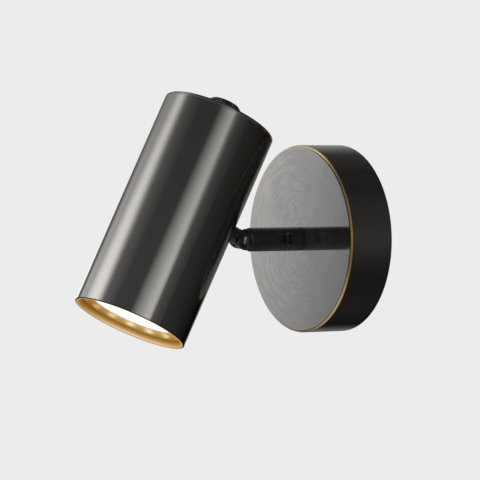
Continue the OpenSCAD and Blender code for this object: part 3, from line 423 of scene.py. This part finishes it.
dress(moulded("cream_nylon", (0.84, 0.82, 0.75), 0.42), "terminal_block", "wire_bush",
      "friction_disc", "switch_body")
dress(moulded("black_nylon", (0.012, 0.012, 0.013), 0.35), "swivel_washer")
dress(moulded("glazed_holder", (0.82, 0.79, 0.71), 0.12, mottle=0.06), "lampholder")
dress(moulded("white_housing", (0.86, 0.86, 0.84), 0.22), "lamp_housing", "lamp_ring",
      "led_board")
dress(moulded("green_board", (0.05, 0.22, 0.11), 0.35), "lamp_driver")
dress(moulded("brown_sleeving", (0.16, 0.06, 0.025), 0.38), "base_live_lead",
      "arm_live_lead", "head_live_lead")
dress(moulded("blue_sleeving", (0.03, 0.10, 0.36), 0.38), "base_neutral_lead",
      "arm_neutral_lead", "head_neutral_lead")
dress(moulded("earth_sleeving", (0.30, 0.48, 0.05), 0.38), "earth_lead")
dress(moulded("black_sleeving", (0.02, 0.02, 0.02), 0.40), "switched_lead")

# Arm and knuckle
# The sleeve, collar and fork are black lacquered brass, smooth and half gloss. The lacquer is
# thin, so a trace of warm metal shows at rubbed places round the knuckle.
STOP_SCREW_OUT = 36.7 * MM
STOP_SCREW_RIM = 2.95 * MM
RIM_WIDTH = 0.3 * MM
SCREW_PATCHES = 700.0
LACQUER_CLOUDS = 330.0
LACQUER_SKIN = 1500.0
LACQUER_DEPTH = 0.03 * MM
# Where the cloud noise wears the lacquer through: with all of it worn, and with none
WORN_MOST = 0.28
WORN_LEAST = 0.70
WORN_FADE = 0.06


def lacquered(name, colour, roughness, rubbed, wear):
    """Black lacquer over brass, with more rubbed places the greater wear is."""
    material, tree = new_material(name)
    spot = add(tree, "TexCoord").outputs["Object"]
    cloud = add(tree, "TexNoise", {"Vector": spot, "Scale": LACQUER_CLOUDS, "Detail": 4.0})
    skin = add(tree, "TexNoise", {"Vector": spot, "Scale": LACQUER_SKIN, "Detail": 2.0})
    edge = WORN_LEAST + (WORN_MOST - WORN_LEAST) * wear
    worn = stretched(tree, cloud.outputs[0], edge, edge + WORN_FADE)
    coat = add(tree, "BsdfPrincipled", {
        "Base Color": mixed(tree, worn, colour, rubbed),
        "Metallic": worn,
        "Roughness": math_of(tree, "MULTIPLY_ADD", cloud.outputs[0], 0.12, roughness),
        "Specular IOR Level": 0.5,
        "Normal": add(tree, "Bump", {"Strength": 0.06, "Distance": LACQUER_DEPTH,
                                     "Height": skin.outputs[0]}).outputs[0]})
    add(tree, "OutputMaterial", {"Surface": coat.outputs[0]})
    return material


def rim_painted_glint(name, colour, glint_colour):
    """Black metal, with a painted glint: the ribs of the stop screw's head are painted bright on
    their wall side.
    """
    material, tree = new_material(name)
    spot = add(tree, "TexCoord").outputs["Object"]
    xyz = add(tree, "SeparateXYZ", {0: spot}).outputs
    beside = add(tree, "CombineXYZ", {1: math_of(tree, "ADD", xyz[1], STOP_SCREW_OUT),
                                      2: xyz[2]}).outputs[0]
    reach = add(tree, "VectorMath", {0: beside}, operation="LENGTH").outputs["Value"]
    # Painted glint: a bright ring on the ribs, on their wall side only
    rubbed = stretched(tree, reach, STOP_SCREW_RIM, STOP_SCREW_RIM + RIM_WIDTH)
    wall_side = math_of(tree, "GREATER_THAN", xyz[1], -STOP_SCREW_OUT)
    rubbed = math_of(tree, "MULTIPLY", rubbed, wall_side)
    patches = add(tree, "TexNoise", {"Vector": spot, "Scale": SCREW_PATCHES, "Detail": 2.0})
    metal = add(tree, "BsdfPrincipled", {
        "Base Color": mixed(tree, rubbed, colour, glint_colour), "Metallic": 1.0,
        "Roughness": math_of(tree, "MULTIPLY_ADD", patches.outputs[0], 0.15, 0.12)})
    add(tree, "OutputMaterial", {"Surface": metal.outputs[0]})
    return material


dress(lacquered("arm_lacquer", (0.012, 0.011, 0.012), 0.30, (0.20, 0.11, 0.05), 0.02),
      "arm_sleeve", "screw_saddle")
dress(lacquered("knuckle_lacquer", (0.014, 0.012, 0.011), 0.20, (0.26, 0.14, 0.05), 0.22),
      "arm_fork", "head_lug")
dress(rim_painted_glint("stop_screw_black", (0.10, 0.09, 0.08), (0.62, 0.55, 0.46)), "stop_screw")
dress(plated("dark_screw", (0.42, 0.41, 0.40), 0.12), "pivot_screw", "pivot_nut")

# Shade
# A drawn tube with a separate cap, both turned with a fine brush and plated dark gunmetal. The
# brush marks run round the tube, so what it reflects is drawn out along its length.
GUNMETAL = (0.43, 0.425, 0.41)
GUNMETAL_WARM = (0.40, 0.375, 0.345)
GUNMETAL_MARKS = (0.31, 0.305, 0.295)
GUNMETAL_SHINE = 0.09
# As how many there are to a metre
BRUSH_MARKS = 3200.0
TUBE_CLOUDS = 26.0
# The end of the mouth is black, and its inner half has a painted golden glow of the lamp's light
MOUTH = -68.9 * MM
LIP_BEVEL = 0.35 * MM
LIP_PAINTED_GLOW_R = 29.75 * MM
LIP_BLACK = (0.05, 0.045, 0.04)
LIP_PAINTED_GLOW_TONE = (0.50, 0.34, 0.14)
LIP_DULL = 0.6
LIP_PAINTED_GLOW = (1.0, 0.66, 0.28, 1)
LIP_PAINTED_GLOW_STRENGTH = 0.45


def head_coordinates(tree):
    """The place of a point in the shade's own frame."""
    spot = add(tree, "TexCoord").outputs["Object"]
    shift = head_place.translation
    return add(tree, "Mapping", {"Vector": spot, "Location": tuple(shift),
                                 "Rotation": tuple(head_turn.to_euler())},
               vector_type="TEXTURE").outputs[0]


def brushed(name, along_tube):
    """Brushed gunmetal; along_tube is true on the tube's wall, and false on the cap's disc."""
    material, tree = new_material(name)
    xyz = add(tree, "SeparateXYZ", {0: head_coordinates(tree)}).outputs
    flat = add(tree, "CombineXYZ", {0: xyz[0], 1: xyz[1]}).outputs[0]
    radius = add(tree, "VectorMath", {0: flat}, operation="LENGTH").outputs["Value"]
    outwards = add(tree, "VectorMath", {0: flat}, operation="NORMALIZE").outputs[0]
    round_x, round_y, _ = add(tree, "SeparateXYZ", {0: outwards}).outputs
    step = xyz[2] if along_tube else radius
    side = (round_x, round_y)
    marks = ringed(tree, step, BRUSH_MARKS, side, turns=2.0, detail=3.0)
    cloud = ringed(tree, step, TUBE_CLOUDS, side, turns=6.0, detail=3.0)
    tone = mixed(tree, cloud, GUNMETAL, GUNMETAL_WARM)
    tone = mixed(tree, math_of(tree, "MULTIPLY", marks, 0.3), tone, GUNMETAL_MARKS)
    shine = math_of(tree, "MULTIPLY_ADD", cloud, 0.05, GUNMETAL_SHINE)
    if along_tube:
        on_lip = math_of(tree, "LESS_THAN", xyz[2], MOUTH + LIP_BEVEL)
        # Painted glow: the inner half of the lip gets a gold tone as if lit by the lamp
        painted_glow_lip = math_of(tree, "MULTIPLY", on_lip, math_of(tree, "LESS_THAN", radius, LIP_PAINTED_GLOW_R))
        tone = mixed(tree, on_lip, tone, LIP_BLACK)
        tone = mixed(tree, painted_glow_lip, tone, LIP_PAINTED_GLOW_TONE)
        shine = math_of(tree, "MULTIPLY_ADD", on_lip, LIP_DULL, shine)
        grain = add(tree, "CombineXYZ", {2: 1.0}).outputs[0]
    else:
        grain = outwards
    grain = add(tree, "VectorRotate", {"Vector": grain, "Angle": -TILT},
                rotation_type="X_AXIS").outputs[0]
    metal = add(tree, "BsdfPrincipled", {
        "Base Color": tone, "Metallic": 1.0, "Anisotropic": 0.5,
        "Roughness": shine,
        "Tangent": world_tangent(tree, grain),
        "Normal": add(tree, "Bump", {"Strength": 0.04, "Distance": MARK_DEPTH,
                                     "Height": marks}).outputs[0]})
    # The painted glow of the lip is the tube's own emission
    if along_tube:
        metal.inputs["Emission Color"].default_value = LIP_PAINTED_GLOW
        tree.links.new(math_of(tree, "MULTIPLY", painted_glow_lip, LIP_PAINTED_GLOW_STRENGTH),
                       metal.inputs["Emission Strength"])
    add(tree, "OutputMaterial", {"Surface": metal.outputs[0]})
    return material


dress(brushed("brushed_tube", True), "shade_tube")
dress(brushed("brushed_cap", False), "top_cap")

# Knob
# A fluted rotary knob on the cap, turned from brass and lacquered gloss black. It is glossier
# than the arm, and fingers have dulled its lacquer in small patches.
dress(lacquered("knob_lacquer", (0.014, 0.014, 0.015), 0.16, (0.12, 0.11, 0.10), 0.2), "knob")

# Liner
# A thin brass reflector in the mouth. The lamp lights it in small pools just in front of the
# lens, leaves a darker band below them, and lights the part near the lip again.
# The glow is the material's own light, so it shows from every side.
LIP = -68.5 * MM
LIT_DEPTH = 5.5 * MM
LINER_GOLD = (0.15, 0.095, 0.04)
LINER_TAN = (0.12, 0.075, 0.035)
LINER_SPECKS = 500.0
POOLS = 16
POOL_TURN = math.radians(6.5)
POOL_EDGE = 1.6
POOL_GAIN = 0.35
POOL_BAND = ((0.0, 0.0), (0.6, 0.0), (0.8, 1.0), (1.0, 0.5))
# The side that the lamp lights best, away from the wall
BRIGHT_SIDE = math.radians(140)
# How bright the glow is from the lip (0) to the lens (1)
GLOW = ((0.0, 0.85), (0.1, 0.7), (0.5, 0.25), (0.7, 0.5), (1.0, 0.65))
# Light takes on the colour of the brass each time that it bounces, so dim places are browner
BRASS = (0.83, 0.62, 0.29)
BOUNCES = 4
TONES = 6


def lit_brass(brightness):
    """The colour of the brass under light of this brightness, from 0 to 1."""
    return tuple(brightness * c ** (BOUNCES * (1 - brightness)) for c in BRASS)


material, tree = new_material("lit_liner")
xyz = add(tree, "SeparateXYZ", {0: head_coordinates(tree)}).outputs
turn = math_of(tree, "ARCTAN2", xyz[1], xyz[0])
level = math_of(tree, "MULTIPLY", math_of(tree, "SUBTRACT", xyz[2], LIP), 1 / LIT_DEPTH)
wave = math_of(tree, "COSINE", math_of(tree, "MULTIPLY_ADD", turn, float(POOLS),
                                       POOLS * POOL_TURN))
pool = math_of(tree, "POWER", math_of(tree, "MULTIPLY_ADD", wave, 0.5, 0.5), POOL_EDGE)
pool = math_of(tree, "MULTIPLY", pool, ramp_of(tree, level, POOL_BAND))
bright = math_of(tree, "MULTIPLY_ADD", pool, POOL_GAIN, ramp_of(tree, level, GLOW))
side = math_of(tree, "COSINE", math_of(tree, "SUBTRACT", turn, BRIGHT_SIDE))
side = math_of(tree, "MULTIPLY_ADD", side, 0.5, 0.5)
glow = ramp_of(tree, math_of(tree, "MULTIPLY", bright, side),
               [(step / TONES, lit_brass(step / TONES)) for step in range(TONES + 1)])
specks = add(tree, "TexNoise", {"Vector": head_coordinates(tree), "Scale": LINER_SPECKS,
                                "Detail": 2.0})
gold = add(tree, "BsdfPrincipled", {
    "Base Color": mixed(tree, specks.outputs[0], LINER_GOLD, LINER_TAN),
    "Metallic": 1.0,
    "Roughness": math_of(tree, "MULTIPLY_ADD", specks.outputs[0], 0.15, 0.28),
    "Emission Color": glow, "Emission Strength": 1.0})
add(tree, "OutputMaterial", {"Surface": gold.outputs[0]})
dress(material, "shade_liner")

# Lens
# The lamp's front glass is pressed with small domes that spread the light of the chips behind
# it. It is lit, so it shows almost white, with a few warmer spots.
LENS_FACE = -63.0 * MM
LENS_R = 22.3 * MM
LENS_THICK = 2.4 * MM
DOME_R = 1.15 * MM
DOME_RISE = 0.34 * MM
DOMES = 300
DOME_SIDES = 10
DOME_RINGS = 6
DISC_SIDES = 96
SPOT_SCALE = 110.0
LENS_TINT = (0.25, 0.235, 0.2, 1)
LENS_GLOW = 1.06
# From the middle of a warm spot outwards
WARM_SPOTS = ((0.0, (1.0, 0.80, 0.46)), (0.16, (1.0, 0.88, 0.64)), (0.32, (1.0, 1.0, 0.96)))

material, tree = new_material("lit_lens")
cells = add(tree, "TexVoronoi", {"Vector": head_coordinates(tree), "Scale": SPOT_SCALE})
glass = add(tree, "BsdfPrincipled", {
    "Base Color": LENS_TINT, "Roughness": 0.12,
    "Emission Color": ramp_of(tree, cells.outputs["Distance"], WARM_SPOTS),
    "Emission Strength": LENS_GLOW})
add(tree, "OutputMaterial", {"Surface": glass.outputs[0]})


def geometry_tree(name, inputs):
    """A Geometry Nodes tree with named inputs; gives the tree, its input node and a node maker."""
    group = bpy.data.node_groups.new(name, "GeometryNodeTree")
    group.interface.new_socket("Geometry", in_out="OUTPUT", socket_type="NodeSocketGeometry")
    for label, kind in inputs:
        group.interface.new_socket(label, in_out="INPUT", socket_type="NodeSocket" + kind)
    entry = group.nodes.new("NodeGroupInput")

    def make(kind, links=None, **settings):
        """Adds a node to this tree; an input that is a socket is linked."""
        node = group.nodes.new(kind)
        for key, value in settings.items():
            setattr(node, key, value)
        for key, value in (links or {}).items():
            if isinstance(value, bpy.types.NodeSocket):
                group.links.new(value, node.inputs[key])
            else:
                node.inputs[key].default_value = value
        return node

    return group, entry.outputs, make


def grown(name, group, values, place):
    """Runs a tree on an empty mesh with its inputs set, and gives the result as a plain mesh."""
    seed = bpy.data.objects.new(name, bpy.data.meshes.new(name))
    bpy.context.scene.collection.objects.link(seed)
    modifier = seed.modifiers.new("shape", "NODES")
    modifier.node_group = group
    for item in group.interface.items_tree:
        if item.in_out == "INPUT" and item.name in values:
            modifier[item.identifier] = values[item.name]
    bpy.context.view_layer.update()
    result = seed.evaluated_get(bpy.context.evaluated_depsgraph_get())
    mesh = bpy.data.meshes.new_from_object(result)
    mesh.name = name
    seed.modifiers.clear()
    seed.data = mesh
    mesh.materials.clear()
    mesh.materials.append(values["Finish"])
    mesh.transform(place)
    mesh.polygons.foreach_set("use_smooth", [True] * len(mesh.polygons))
    return seed


# A disc with its domes on a sunflower's spiral, so they are evenly spaced out to the rim
GOLDEN_TURN = math.pi * (3 - math.sqrt(5))
group, given, make = geometry_tree("domed_lens", (
    ("Radius", "Float"), ("Thickness", "Float"), ("Dome radius", "Float"),
    ("Dome rise", "Float"), ("Domes", "Int"), ("Finish", "Material")))
disc = make("GeometryNodeMeshCylinder", {"Vertices": DISC_SIDES, "Radius": given["Radius"],
                                         "Depth": given["Thickness"]})
points = make("GeometryNodePoints", {"Count": given["Domes"]})
index = make("GeometryNodeInputIndex").outputs[0]
share = make("ShaderNodeMath", {0: make("ShaderNodeMath", {0: index, 1: 0.5},
                                        operation="ADD").outputs[0], 1: given["Domes"]},
             operation="DIVIDE")
reach = make("ShaderNodeMath", {0: given["Radius"], 1: given["Dome radius"]},
             operation="SUBTRACT")
out = make("ShaderNodeMath", {0: make("ShaderNodeMath", {0: share.outputs[0]},
                                      operation="SQRT").outputs[0], 1: reach.outputs[0]},
           operation="MULTIPLY")
turn = make("ShaderNodeMath", {0: index, 1: GOLDEN_TURN}, operation="MULTIPLY")
spot_x = make("ShaderNodeMath", {0: out.outputs[0], 1: make(
    "ShaderNodeMath", {0: turn.outputs[0]}, operation="COSINE").outputs[0]}, operation="MULTIPLY")
spot_y = make("ShaderNodeMath", {0: out.outputs[0], 1: make(
    "ShaderNodeMath", {0: turn.outputs[0]}, operation="SINE").outputs[0]}, operation="MULTIPLY")
down = make("ShaderNodeMath", {0: given["Thickness"], 1: -0.5}, operation="MULTIPLY")
spots = make("ShaderNodeCombineXYZ", {0: spot_x.outputs[0], 1: spot_y.outputs[0],
                                      2: down.outputs[0]})
placed = make("GeometryNodeSetPosition", {"Geometry": points.outputs[0],
                                          "Position": spots.outputs[0]})
ball = make("GeometryNodeMeshUVSphere", {"Segments": DOME_SIDES, "Rings": DOME_RINGS,
                                         "Radius": 1.0})
size = make("ShaderNodeCombineXYZ", {0: given["Dome radius"], 1: given["Dome radius"],
                                     2: given["Dome rise"]})
domes = make("GeometryNodeInstanceOnPoints", {"Points": placed.outputs[0],
                                              "Instance": ball.outputs[0],
                                              "Scale": size.outputs[0]})
both = make("GeometryNodeJoinGeometry")
group.links.new(disc.outputs["Mesh"], both.inputs[0])
group.links.new(domes.outputs[0], both.inputs[0])
real = make("GeometryNodeRealizeInstances", {"Geometry": both.outputs[0]})
painted = make("GeometryNodeSetMaterial", {"Geometry": real.outputs[0],
                                           "Material": given["Finish"]})
group.links.new(painted.outputs[0], make("NodeGroupOutput").inputs[0])

lens = grown("domed_lens", group,
             {"Radius": LENS_R, "Thickness": LENS_THICK, "Dome radius": DOME_R,
              "Dome rise": DOME_RISE, "Domes": DOMES, "Finish": material},
             head_place @ Matrix.Translation((0, 0, LENS_FACE + LENS_THICK / 2)))
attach(lens, "lamp")
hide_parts("lamp_lens")

# Chips
# Square light-emitting chips under yellow phosphor, soldered to the white board behind the
# lens. They show only when the lamp is taken apart.
dress(moulded("chip_phosphor", (0.90, 0.66, 0.10), 0.3), "led_chips")
